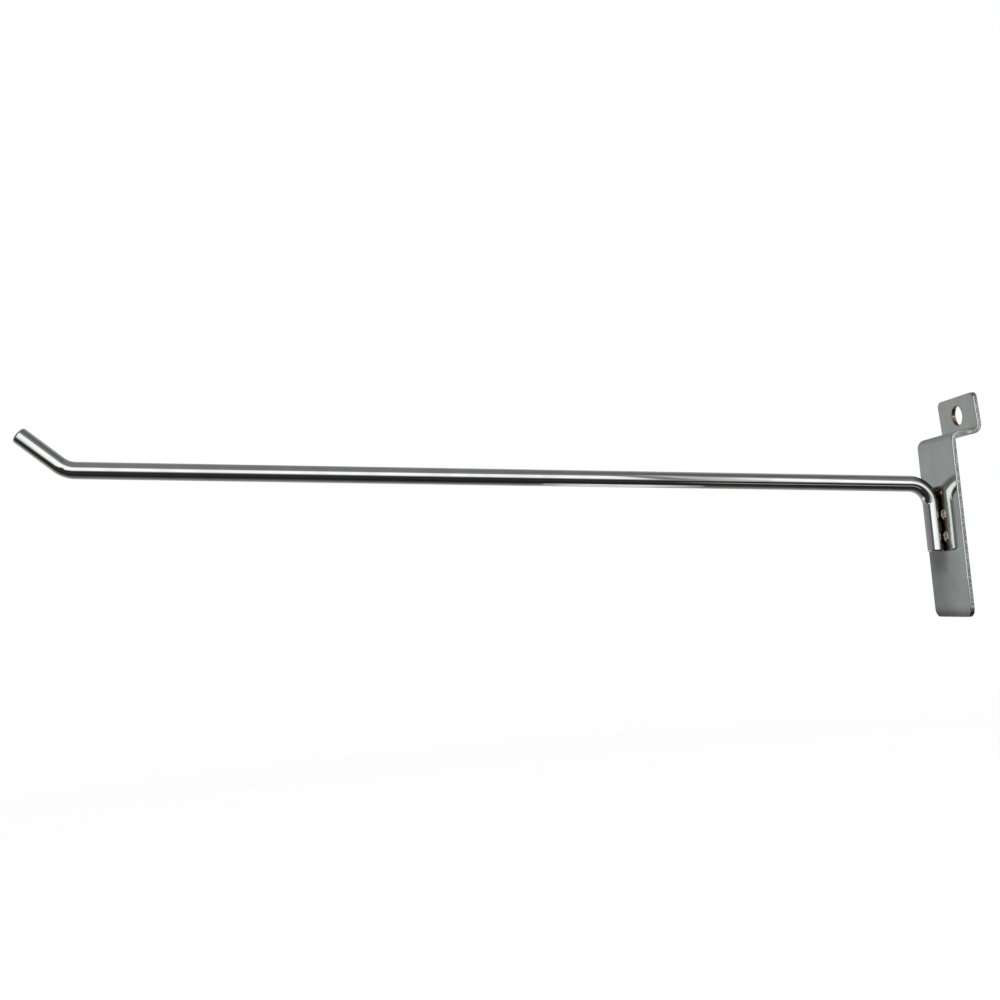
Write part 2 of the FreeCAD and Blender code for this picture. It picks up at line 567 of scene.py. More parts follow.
class Route:
    """A path in the XZ plane: straight runs, with an arc of its own radius at each corner."""

    def __init__(self, corners: Sequence[Vector], radii: Sequence[float]) -> None:
        """Joins the runs with arcs.

        Args:
            corners: the path's ends, with its corners between them.
            radii: the radius at each corner.
        """
        runs = [(b - a).normalized() for a, b in zip(corners, corners[1:])]
        self.legs: list[Leg] = []
        self.length = 0.0
        here = corners[0]
        for corner, before, after, radius in zip(corners[1:], runs, runs[1:], radii):
            turn = atan2(before.x * after.z - before.z * after.x, before.dot(after))
            reach = radius * tan(abs(turn) / 2)
            start = corner - before * reach
            self.add_leg((start - here).length, here, before, 0.0)
            self.add_leg(radius * abs(turn), start, before, turn)
            here = corner + after * reach
        self.add_leg((corners[-1] - here).length, here, runs[-1], 0.0)

    def add_leg(self, length: float, start: Vector, direction: Vector, turn: float) -> None:
        """Adds a straight run or an arc at the path's end."""
        self.legs.append(Leg(self.length, length, start, direction, turn))
        self.length += length

    def bends(self) -> list[Point]:
        """Where each arc starts and ends, as distances along the path."""
        return [(leg.begin, leg.begin + leg.length) for leg in self.legs if leg.turn]

    def at(self, along: float) -> tuple[Vector, Vector]:
        """The place and the direction at a distance along the path, which may lie a little past its ends."""
        reached = (leg for leg in self.legs[:-1] if along <= leg.begin + leg.length)
        return next(reached, self.legs[-1]).at(along)


# Meshes


def add_object(name: str, data: ID) -> Object:
    """Makes the object of a mesh, a lamp or a camera, and puts it in the scene."""
    made = bpy.data.objects.new(name, data)
    bpy.context.scene.collection.objects.link(made)
    return made


class MeshPlan:
    """Corners and faces as they are planned, with the exact normals where they are known."""

    def __init__(self) -> None:
        """Starts empty."""
        self.corners: list[tuple[Vector, Optional[Vector]]] = []
        self.faces: list[tuple[Face, int]] = []

    def add(self, point: Vector, normal: Optional[Vector] = None) -> int:
        """Adds a corner, and gives back its number."""
        self.corners.append((point, normal))
        return len(self.corners) - 1

    def face(self, corners: Sequence[int], finish: int = 0) -> None:
        """Adds a face with a numbered material, unless it has no area."""
        if len(set(corners)) > 2:
            self.faces.append((tuple(corners), finish))

    def bridge(self, first: Sequence[int], second: Sequence[int], finish: int = 0) -> None:
        """Joins two closed rings of as many corners with a band of faces."""
        for i, j in enumerate([*range(1, len(first)), 0]):
            self.face((first[i], first[j], second[j], second[i]), finish)

    def build(self, name: str, materials: Sequence[Material], slot: Slot) -> Object:
        """Makes the mesh object and rides it on the part's body.

        Args:
            name: the object's name.
            materials: its materials, in the order of the faces' finishes.
            slot: not used.

        Returns:
            The object.
        """
        mesh = bpy.data.meshes.new(name)
        mesh.from_pydata([point for point, _ in self.corners], [], [corners for corners, _ in self.faces])
        for material in materials:
            mesh.materials.append(material)
        mesh.polygons.foreach_set("material_index", [finish for _, finish in self.faces])
        mesh.polygons.foreach_set("use_smooth", [True] * len(self.faces))
        mesh.update()
        smooth = [known or made.normal.copy() for (_, known), made in zip(self.corners, mesh.vertices)]
        mesh.normals_split_custom_set_from_vertices(smooth)
        piece = add_object(name, mesh)
        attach(piece, "root")
        LOG.info("%s: %d corners, %d faces", name, len(self.corners), len(self.faces))
        return piece


# The object's pieces


@dataclass
class BackPlate:
    """The stamped strip: rounded, stepped, punched and sheared all round."""

    step_height: float = 63.0 * MM
    lip_gap: float = 8.5 * MM
    step_rise: float = radians(0.5)
    tab_lean: float = radians(3.0)
    bend_inner_radius: float = 1.8 * MM
    lower_corner: float = 3.0 * MM
    upper_corner: float = 2.2 * MM
    hole_radius: float = 3.5 * MM
    hole_drop: float = 6.5 * MM
    roll: float = 0.35 * MM
    rim_break: float = 0.1 * MM
    land_depth: float = 0.42 * MM
    land_wander: float = 0.07 * MM
    land_wander_size: float = 1.7 * MM
    tear_start: float = 0.08 * MM
    tear: float = 0.020 * MM
    tear_least: float = 0.45
    tear_gain: float = 1.6
    tear_size: float = 1.1 * MM
    tear_layers: Fractal = (0.8, 2.0, 3)
    probe: float = 0.01 * MM
    step_along: float = 0.3 * MM
    step_bend: float = 0.12 * MM
    step_hole: float = radians(3.0)
    roll_rows: int = 6
    wall_rows: int = 14
    hole_rows: int = 8

    def __post_init__(self) -> None:
        """Reads the strip's own sizes from the frame and lays out its middle line."""
        lowest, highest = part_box("back_plate")
        self.thickness = highest.x
        self.half_thickness = highest.x / 2
        self.half_width = (highest.y - lowest.y) / 2
        self.route = self.middle_line(lowest.z, highest.z)
        self.hole_along = self.route.length - self.hole_drop
        self.plan = MeshPlan()

    def middle_line(self, lower_edge: float, upper_edge: float) -> Route:
        """The strip's middle line.

        Args:
            lower_edge: the height of its lower edge.
            upper_edge: the height of its upper edge, at the tab's front corner.

        Returns:
            The path, from the lower edge to the upper.
        """
        half = self.half_thickness
        radius = self.bend_inner_radius + half
        drop = half / cos(self.step_rise) + half * tan(self.step_rise)
        first = Vector((half, 0.0, lower_edge + self.step_height - drop))
        depth = self.lip_gap + self.thickness
        second = first + Vector((-depth, 0.0, depth * tan(self.step_rise)))
        up = heading(pi / 2 - self.tab_lean)
        top = second + up * ((upper_edge - half * sin(self.tab_lean) - second.z) / up.z)
        return Route([Vector((half, 0.0, lower_edge)), first, second, top], [radius, radius])

    def fold(self, along: float, across: float, depth: float) -> Vector:
        """Where a point of the flat blank lies once the strip is bent.

        Args:
            along: distance from the lower edge.
            across: distance from the middle, towards +Y.
            depth: distance from the middle line, towards the front.

        Returns:
            The place.
        """
        middle, direction = self.route.at(along)
        place = middle + right_of(direction) * depth
        return Vector((place.x, across, place.z))

    def rows(self) -> list[float]:
        """Distances along the strip at which its long sides have corners."""
        bends = [mark for bend in self.route.bends() for mark in bend]
        marks = [self.lower_corner, *bends, self.route.length - self.upper_corner]
        places: list[float] = []
        for number, (start, end) in enumerate(zip(marks, marks[1:])):
            places += spaced(start, end, self.step_bend if number % 2 else self.step_along)
        return places + [marks[-1]]

    def outline(self, inset: float) -> list[Point]:
        """The blank's outline, drawn in by an inset, as points that match one to one at any inset.

        Args:
            inset: how far in from the sheared edge.

        Returns:
            Pairs of distance along and distance across, going round once.
        """
        side = self.half_width - inset
        long_side = self.rows()
        right = [(along, side) for along in long_side]
        left = [(along, -side) for along in reversed(long_side)]
        upper = self.short_end(inset, self.route.length, 1, self.upper_corner)
        return right + upper + left + self.short_end(inset, 0.0, -1, self.lower_corner)

    def short_end(self, inset: float, edge: float, sign: int, radius: float) -> list[Point]:
        """One short end of the blank, between its long sides.

        Args:
            inset: how far in from the sheared edge.
            edge: the end's distance along the strip.
            sign: 1 for the upper end and -1 for the lower.
            radius: the radius of its two corners.

        Returns:
            Its points, in the outline's order.
        """
        reach = self.half_width - radius
        straight = [*spaced(-reach, reach, self.step_along), reach]
        corners = []
        for quarter, side in ((0, sign), (1, -sign)):
            start = pi / 2 * (quarter if sign > 0 else quarter + 2)
            corner = []
            for part in spaced(0.0, pi / 2, self.step_along / radius)[1:]:
                out = radius - inset
                corner.append((edge - sign * radius + out * sin(start + part),
                               side * reach + out * cos(start + part)))
            corners.append(corner)
        level = [(edge - sign * inset, -sign * across) for across in straight]
        return corners[0] + level + corners[1]

    def edge_profile(self) -> list[Point]:
        """The sheared edge from the front skin to the back: inset and depth of each row."""
        half = self.half_thickness
        rows = []
        for part in range(self.roll_rows + 1):
            turn = pi / 2 * part / self.roll_rows
            rows.append((self.roll * (1 - sin(turn)), half - self.roll * (1 - cos(turn))))
        low = -half + self.rim_break
        wall = half - self.roll - low
        rows += [(0.0, low + wall * (1 - part / self.wall_rows)) for part in range(1, self.wall_rows + 1)]
        return rows + [(self.rim_break, -half)]

    def hole_profile(self) -> list[Point]:
        """The hole's wall from the front skin to the back: inset into the sheet and depth of each row."""
        half = self.half_thickness
        small = self.rim_break
        eased = small * (1 - sqrt(0.5))
        front = [(small, half), (eased, half - eased), (0.0, half - small)]
        wall = self.thickness - 2 * small
        rows = [(0.0, half - small - wall * part / self.hole_rows) for part in range(1, self.hole_rows + 1)]
        return front + rows + [(eased, -half + eased), (small, -half)]

    def hole_ring(self, inset: float) -> list[Point]:
        """The punched hole as points in the flat, wider by an inset."""
        radius = self.hole_radius + inset
        turns = spaced(0.0, 2 * pi, self.step_hole)
        return [(self.hole_along + radius * sin(t), radius * cos(t)) for t in turns]

    def broken_off(self, along: float, across: float, depth: float) -> Vector:
        """How far, and which way, the broken metal stands back from the sheared edge.

        Args:
            along: the unbroken point's distance from the lower edge.
            across: its distance from the middle.
            depth: its distance from the middle line, towards the front.

        Returns:
            The step back, which is nothing on the rubbed land.
        """
        edge = self.fold(along, across, depth)
        wander = noise.noise(edge * (1 / self.land_wander_size)) * self.land_wander
        below_land = self.half_thickness - self.land_depth + wander - depth
        share = min(1.0, max(0.0, below_land / self.tear_start))
        rough = noise.fractal(edge * (1 / self.tear_size), *self.tear_layers)
        torn = self.tear_least + (1 - self.tear_least) * min(1.0, abs(rough) * self.tear_gain)
        loss = share * self.tear * torn
        corner = self.lower_corner if along < self.lower_corner else self.upper_corner
        side = self.half_width - corner
        core_along = min(max(along, self.lower_corner), self.route.length - self.upper_corner)
        core_across = min(max(across, -side), side)
        step = Vector((core_along - along, core_across - across)).normalized() * self.probe
        inner = self.fold(along + step.x, across + step.y, depth)
        return (inner - edge).normalized() * loss

    def edge_rings(
        self, around: Callable[[float], list[Point]], profile: Sequence[Point], torn: bool
    ) -> list[list[int]]:
        """The rings of corners from the front skin, over an edge, to the back skin.

        Args:
            around: gives the ring's points in the flat at an inset.
            profile: inset and depth of each row.
            torn: whether the edge has broken metal under its rubbed land.

        Returns:
            A ring of corner numbers for each row of the profile.
        """
        rings = []
        unbroken = around(0.0)
        for number, (inset, depth) in enumerate(profile):
            ring = []
            for (along, across), edge in zip(around(inset), unbroken):
                place = self.fold(along, across, depth)
                normal = None
                if number in (0, len(profile) - 1):
                    facing = right_of(self.route.at(along)[1])
                    normal = -facing if number else facing
                elif torn and number > self.roll_rows:
                    place = place + self.broken_off(*edge, depth)
                ring.append(self.plan.add(place, normal))
            rings.append(ring)
        return rings

    def cover(self, skin: Skin, ring: Sequence[int], points: Sequence[Point], hole: Sequence[int]) -> None:
        """Fills one broad face: cross strips at the bends, flat pieces between them.

        Args:
            skin: the front or the back.
            ring: the corners of the outer rim.
            points: the same corners in the flat.
            hole: the corners of the hole's rim.
        """
        count = len(self.rows())
        marks = [mark for bend in self.route.bends() for mark in bend]
        cuts = [min(range(count), key=lambda i: abs(points[i][0] - mark)) for mark in marks]
        far = points.index((points[count - 1][0], -points[count - 1][1])) + count - 1

        def lay(corners: Sequence[int]) -> None:
            """Adds a face so that it faces out of its skin. Corner i lies opposite corner far - i."""
            self.plan.face(corners if skin is Skin.FRONT else corners[::-1])

        lay(ring[far - cuts[0]:] + ring[:cuts[0] + 1])
        for i in (*range(cuts[0], cuts[1]), *range(cuts[2], cuts[3])):
            lay([ring[far - i], ring[i], ring[i + 1], ring[far - i - 1]])
        lay(ring[cuts[1]:cuts[2] + 1] + ring[far - cuts[2]:far - cuts[1] + 1])
        tab = slice(cuts[3], far - cuts[3] + 1)
        outer = [Vector((*point, 0.0)) for point in points[tab]]
        inner = [Vector((*point, 0.0)) for point in self.hole_ring(self.rim_break)]
        numbers = [*ring[tab], *hole]
        flat = outer + inner
        triangles = geometry.tessellate_polygon([outer, inner])
        turned = sum((flat[b] - flat[a]).cross(flat[c] - flat[a]).z for a, b, c in triangles)
        for triangle in triangles:
            corners = [numbers[i] for i in triangle]
            lay(corners if turned < 0 else corners[::-1])

    def build(self, plating: Material, cut_edge: Material, hole_wall: Material) -> None:
        """Makes the strip, which stands for the frame's plain one.

        Args:
            plating: the material of the broad faces and the rolled edge.
            cut_edge: the material of the sheared edge.
            hole_wall: the material of the punched hole's wall.
        """
        outer = self.edge_rings(self.outline, self.edge_profile(), True)
        hole = self.edge_rings(self.hole_ring, self.hole_profile(), False)
        for number, (first, second) in enumerate(zip(outer, outer[1:])):
            self.plan.bridge(second, first, int(number >= self.roll_rows))
        for first, second in zip(hole, hole[1:]):
            self.plan.bridge(first, second, 2)
        self.cover(Skin.FRONT, outer[0], self.outline(self.roll), hole[0])
        self.cover(Skin.BACK, outer[-1], self.outline(self.rim_break), hole[-1])
        piece = self.plan.build("stamped_strip", [plating, cut_edge, hole_wall], Slot.STRIP)
        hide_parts("back_plate")


@dataclass(frozen=True)
class Dent:
    """A small mark that the bending tool has left."""

    along: float
    turn: float
    radius: float
    depth: float

    def sunk(self, along: float, around: float) -> float:
        """How deep it is at a distance along the wire and a distance round it from its own turn."""
        return self.depth * exp(-((hypot(along - self.along, around) / self.radius) ** 2))


@dataclass
class HookArm:
    """The bent wire: leg, arm and upturned tip, with eased ends."""

    arm_length: float = 289.6 * MM
    arm_rise: float = radians(5.0)
    arm_height: float = 46.5 * MM
    leg_length: float = 23.6 * MM
    leg_bend_radius: float = 8.0 * MM
    tip_length: float = 18.7 * MM
    tip_turn: float = radians(36.5)
    tip_bend_radius: float = 9.0 * MM
    end_round: float = 0.7 * MM
    seat_depth: float = 0.1 * MM
    around: int = 72
    step_run: float = 2.0 * MM
    step_bend: float = radians(1.5)
    step_marked: float = 0.25 * MM
    marked_run: float = 6.0 * MM
    dent_reach: float = 4.0
    least_dent: float = 0.0002 * MM
    end_rows: int = 8
    end_shares: tuple[float, ...] = (0.8, 0.6, 0.4, 0.2, 0.05)

    def __post_init__(self) -> None:
        """Reads the wire's thickness and place from the frame and lays out its axis."""
        lowest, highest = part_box("hook_arm")
        self.radius = (highest.y - lowest.y) / 2
        self.offset = (highest.y + lowest.y) / 2
        self.seat = lowest.x
        lower_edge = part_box("back_plate")[0].z
        corner = Vector((self.seat + self.radius - self.seat_depth, 0.0, lower_edge + self.arm_height))
        self.leg_end = corner - Vector((0.0, 0.0, self.leg_length))
        tip_corner = corner + heading(self.arm_rise) * self.arm_length
        tip_end = tip_corner + heading(self.arm_rise + self.tip_turn) * self.tip_length
        corners = [self.leg_end, corner, tip_corner, tip_end]
        self.route = Route(corners, [self.leg_bend_radius, self.tip_bend_radius])
        self.plan = MeshPlan()

    def stations(self) -> list[float]:
        """Distances along the axis at which the wire has a ring of corners."""
        (leg_start, leg_stop), (tip_start, tip_stop) = self.route.bends()
        first, last = self.end_round, self.route.length - self.end_round
        marked_start = tip_start - self.marked_run
        places = spaced(first, leg_start, self.step_run / 2)
        places += spaced(leg_start, leg_stop, self.step_bend * self.leg_bend_radius)
        places += spaced(leg_stop, marked_start, self.step_run)
        places += spaced(marked_start, tip_start, self.step_marked)
        places += spaced(tip_start, tip_stop, self.step_bend * self.tip_bend_radius)
        return places + spaced(tip_stop, last, self.step_run / 2) + [last]

    def ring(self, along: float, radius: float, lean: float, marks: Sequence[Dent]) -> list[int]:
        """One ring of corners round the wire.

        Args:
            along: distance along the axis.
            radius: the ring's radius.
            lean: how far its normals lean along the axis, in radians.
            marks: the dents that may reach it.

        Returns:
            The corners' numbers.
        """
        centre, direction = self.route.at(along)
        up = -right_of(direction)
        numbers = []
        for number in range(self.around):
            turn = 2 * pi * number / self.around
            outward = SIDEWARD * cos(turn) + up * sin(turn)
            sunk = 0.0
            for mark in marks:
                sunk += mark.sunk(along, remainder(turn - mark.turn, 2 * pi) * self.radius)
            place = centre + outward * (radius - sunk)
            place.y += self.offset
            normal = outward * cos(lean) + direction * sin(lean)
            if place.x < self.seat:
                place.x = self.seat
                normal = WALLWARD
            numbers.append(self.plan.add(place, None if sunk > self.least_dent else normal))
        return numbers

    def end_rings(self, at_tip: bool) -> list[list[int]]:
        """The rings of a cut end, from its eased rim to near its centre.

        Args:
            at_tip: the tip's end, or else the leg's.

        Returns:
            The rings, from the outside in.
        """
        sign = 1 if at_tip else -1
        base = self.route.length if at_tip else 0.0
        rings = []
        for part in range(1, self.end_rows + 1):
            turn = pi / 2 * part / self.end_rows
            inward = self.end_round * (1 - cos(turn))
            along = base - sign * self.end_round * (1 - sin(turn))
            rings.append(self.ring(along, self.radius - inward, sign * turn, ()))
        face = self.radius - self.end_round
        return rings + [self.ring(base, face * share, sign * pi / 2, ()) for share in self.end_shares]

    def build(self, plating: Material, cut_end: Material, marks: Sequence[Dent]) -> None:
        """Makes the wire, which stands for the frame's plain one.

        Args:
            plating: the material along the wire.
            cut_end: the material of its cut ends.
            marks: the bending tool's marks.
        """
        rings = []
        for along in self.stations():
            near = [mark for mark in marks if abs(along - mark.along) < self.dent_reach * mark.radius]
            rings.append(self.ring(along, self.radius, 0.0, near))
        for first, second in zip(rings, rings[1:]):
            self.plan.bridge(first, second)
        for at_tip, last in ((True, rings[-1]), (False, rings[0])):
            ends = self.end_rings(at_tip)
            for number, (outer, inner) in enumerate(zip([last] + ends, ends)):
                pair = (outer, inner) if at_tip else (inner, outer)
                self.plan.bridge(*pair, int(number >= self.end_rows))
            self.plan.face(ends[-1] if at_tip else ends[-1][::-1], 1)
        piece = self.plan.build("bent_wire", [plating, cut_end], Slot.WIRE)
        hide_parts("hook_arm")


@dataclass
class WeldDrop:
    """One low run of weld metal in the corner between the strip and the wire."""

    node: str
    seed: float
    step: float = 0.12 * MM
    rows: int = 18
    lump: float = 0.14
    lump_size: float = 1.2 * MM
    lump_layers: Fractal = (0.8, 2.1, 3)
    ragged: float = 0.12
    ragged_size: float = 0.8 * MM

    def __post_init__(self) -> None:
        """Reads the drop's own sizes from its node."""
        lowest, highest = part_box(self.node)
        span = highest - lowest
        upright = span.z > span.y
        self.along, self.across = (UPWARD, SIDEWARD) if upright else (SIDEWARD, -UPWARD)
        self.half_width = min(span.y, span.z) / 2
        self.half_straight = (max(span.y, span.z) - min(span.y, span.z)) / 2
        self.height = span.x
        self.centre = Vector((lowest.x, *((lowest + highest) / 2).yz))
        self.radius = (self.half_width ** 2 + self.height ** 2) / (2 * self.height)

    def footprint(self) -> list[tuple[Vector, Vector]]:
        """The foot's outline, going round once: the nearest place on its middle line, and the way out."""
        outline = []
        for end in (1.0, -1.0):
            centre = self.along * (end * self.half_straight)
            for turn in spaced(0.0, pi, self.step / self.half_width):
                outward = self.along * (end * sin(turn)) + self.across * (end * cos(turn))
                outline.append((centre, outward))
            for place in spaced(end * self.half_straight, -end * self.half_straight, self.step):
                outline.append((self.along * place, self.across * -end))
        return outline

    def dome(self, base: Vector, outward: Vector, share: float) -> Vector:
        """A point on the lumpy drop.

        Args:
            base: the nearest place on the drop's middle line.
            outward: the way out from there.
            share: 0 at the middle line and 1 at the foot's edge.

        Returns:
            The point.
        """
        seed = Vector((self.seed, self.seed, self.seed))
        edge = self.centre + base + outward * self.half_width
        bite = 0.5 + 0.5 * noise.noise(edge * (1 / self.ragged_size) + seed)
        reach = self.half_width * (1 - self.ragged * bite) * share
        rise = sqrt(self.radius ** 2 - (self.half_width * share) ** 2) - self.radius + self.height
        place = self.centre + base + outward * reach
        swell = 0.5 + 0.5 * noise.fractal(place * (1 / self.lump_size) + seed, *self.lump_layers)
        place.x += max(0.0, rise) * (1 - self.lump * min(1.0, max(0.0, swell)))
        return place

    def build(self, metal: Material) -> None:
        """Makes the drop, which stands for the frame's plain one.

        Args:
            metal: the weld metal's material.
        """
        plan = MeshPlan()
        outline = self.footprint()
        rings = [[plan.add(self.dome(base, outward, 1 - row / self.rows)) for base, outward in outline]
                 for row in range(self.rows)]
        for first, second in zip(rings, rings[1:]):
            plan.bridge(first, second)
        plan.face(rings[-1])
        foot = [plan.add(plan.corners[corner][0], WALLWARD) for corner in rings[0]]
        plan.face(foot[::-1])
        piece = plan.build(f"{self.node}_drop", [metal], Slot.WELD)
        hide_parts(self.node)


# Studio


def ease(value: float) -> float:
    """A smooth step from 0 to 1."""
    held = min(1.0, max(0.0, value))
    return held * held * (3.0 - 2.0 * held)


def inside(off: float, half: float, soft: float) -> float:
    """1 well within a half width and 0 well beyond it, across a soft edge of a given width."""
    return ease((half + soft / 2 - off) / soft)


def direction(azimuth: float, elevation: float) -> Vector:
    """Unit vector at an azimuth from +X towards +Y and an elevation above the horizon, in degrees."""
    turn, rise = radians(azimuth), radians(elevation)
    return Vector((cos(rise) * cos(turn), cos(rise) * sin(turn), sin(rise)))


def grid_faces(wide: int, deep: int, closed: bool = False) -> list[Face]:
    """The faces of a grid of corners, numbered row by row.

    Args:
        wide: the number of corners in a row.
        deep: the number of rows.
        closed: whether each row's last corner joins its first.

    Returns:
        The faces.
    """
    faces = []
    for row in range(0, (deep - 1) * wide, wide):
        for corner in range(wide if closed else wide - 1):
            beside = (corner + 1) % wide
            faces.append((row + corner, row + beside, row + wide + beside, row + wide + corner))
    return faces


def level_grid(
    xs: Sequence[float], ys: Sequence[float], height: float
) -> tuple[list[Vector], list[Face]]:
    """The corners and the faces of a level grid."""
    return [Vector((x, y, height)) for y in ys for x in xs], grid_faces(len(xs), len(ys))


def mirror_only(
    name: str, points: Sequence[Vector], faces: Sequence[Face], levels: Sequence[float], tone: Colour
) -> None:
    """Puts a mesh on the stage that shines by its own light and that only mirrored rays meet.

    Args:
        name: the mesh's name.
        points: its corners.
        faces: its faces.
        levels: the brightness at each corner.
        tone: the tint of the light.
    """
    mesh = bpy.data.meshes.new(name)
    mesh.from_pydata(points, [], faces)
    layer = mesh.color_attributes.new("glow", "FLOAT_COLOR", "POINT")
    colours = [(*(level * channel for channel in tone), 1.0) for level in levels]
    layer.data.foreach_set("color", [channel for colour in colours for channel in colour])
    material, graph = new_material(name)
    colour = graph.node("ShaderNodeAttribute", {"attribute_name": "glow"}, {}).outputs["Color"]
    graph.finish(graph.glow(colour, 1.0))
    mesh.materials.append(material)
    card = add_object(name, mesh)
    card.visible_camera = False
    card.visible_diffuse = False
    card.visible_shadow = False
    card.visible_volume_scatter = False
    card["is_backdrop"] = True


@dataclass(frozen=True)
class GlowPanel:
    """A soft-edged field of brightness on the tent, in degrees seen from the part."""

    azimuth: float
    elevation: float
    half_width: float
    half_height: float
    soft_side: float
    soft_top: float
    soft_bottom: float
    level: float
    bow: float = 0.0

    def share(self, azimuth: float, elevation: float) -> float:
        """How much of this panel shows in a direction.

        Args:
            azimuth: the direction's azimuth.
            elevation: its elevation.

        Returns:
            A number from 0 to 1.
        """
        middle = self.azimuth + self.bow * elevation ** 2
        off = abs((azimuth - middle + 180.0) % 360.0 - 180.0)
        above = elevation - self.elevation
        sides = inside(off, self.half_width, self.soft_side)
        top = inside(above, self.half_height, self.soft_top)
        return sides * top * inside(-above, self.half_height, self.soft_bottom)


@dataclass(frozen=True)
class ClothPatch:
    """A soft-edged rectangle of brightness on the cloth or a card, in metres."""

    x: float
    y: float
    half_x: float
    half_y: float
    soft_x: float
    soft_y: float
    level: float

    def share(self, x: float, y: float) -> float:
        """How much of this patch shows at a place, from 0 to 1."""
        wide = inside(abs(x - self.x), self.half_x, self.soft_x)
        return wide * inside(abs(y - self.y), self.half_y, self.soft_y)


@dataclass(frozen=True)
class WhiteCard:
    """A level card just below the part, which only its mirror image shows."""

    name: str
    x_range: Point
    y_range: Point
    glow: ClothPatch
    rim_level: float
    height: float = -0.050
    cells: int = 24

    def build(self) -> None:
        """Makes the card."""
        ranges = (self.x_range, self.y_range)
        xs, ys = (spaced(start, end, (end - start) / self.cells) + [end] for start, end in ranges)
        points, faces = level_grid(xs, ys, self.height)
        gain = self.glow.level - self.rim_level
        levels = [self.rim_level + gain * self.glow.share(point.x, point.y) for point in points]
        mirror_only(self.name, points, faces, levels, WHITE[:3])


@dataclass
class Tent:
    """The grey tent of panels, brighter and darker, that the plated metal mirrors."""

    centre: Vector
    panels: tuple[GlowPanel, ...]
    radius: float = 3.0
    floor_line: float = -4.5
    step: float = 0.75
    level: float = 0.238
    overhead: float = 0.215
    overhead_start: float = 30.0
    overhead_span: float = 40.0
    unevenness: float = 0.10
    uneven_scale: float = 3.0
    tone: Colour = (0.965, 1.01, 1.0)

    def brightness(self, azimuth: float, elevation: float) -> float:
        """The tent's brightness in a direction.

        Args:
            azimuth: the direction's azimuth, in degrees.
            elevation: its elevation, in degrees.

        Returns:
            The brightness, 1 for white.
        """
        upper = ease((elevation - self.overhead_start) / self.overhead_span)
        value = self.level + (self.overhead - self.level) * upper
        for panel in self.panels:
            value += (panel.level - value) * panel.share(azimuth, elevation)
        uneven = noise.noise(direction(azimuth, elevation) * self.uneven_scale)
        return value * (1.0 + self.unevenness * uneven)

    def build(self) -> None:
        """Makes the tent."""
        columns = round(360.0 / self.step)
        span = 90.0 - self.floor_line
        rows = ceil(span / self.step)
        sights = [(column * self.step, self.floor_line + span * row / rows)
                  for row in range(rows + 1) for column in range(columns)]
        points = [self.centre + direction(*sight) * self.radius for sight in sights]
        levels = [self.brightness(*sight) for sight in sights]
        mirror_only("reflection_tent", points, grid_faces(columns, rows + 1, True), levels, self.tone)


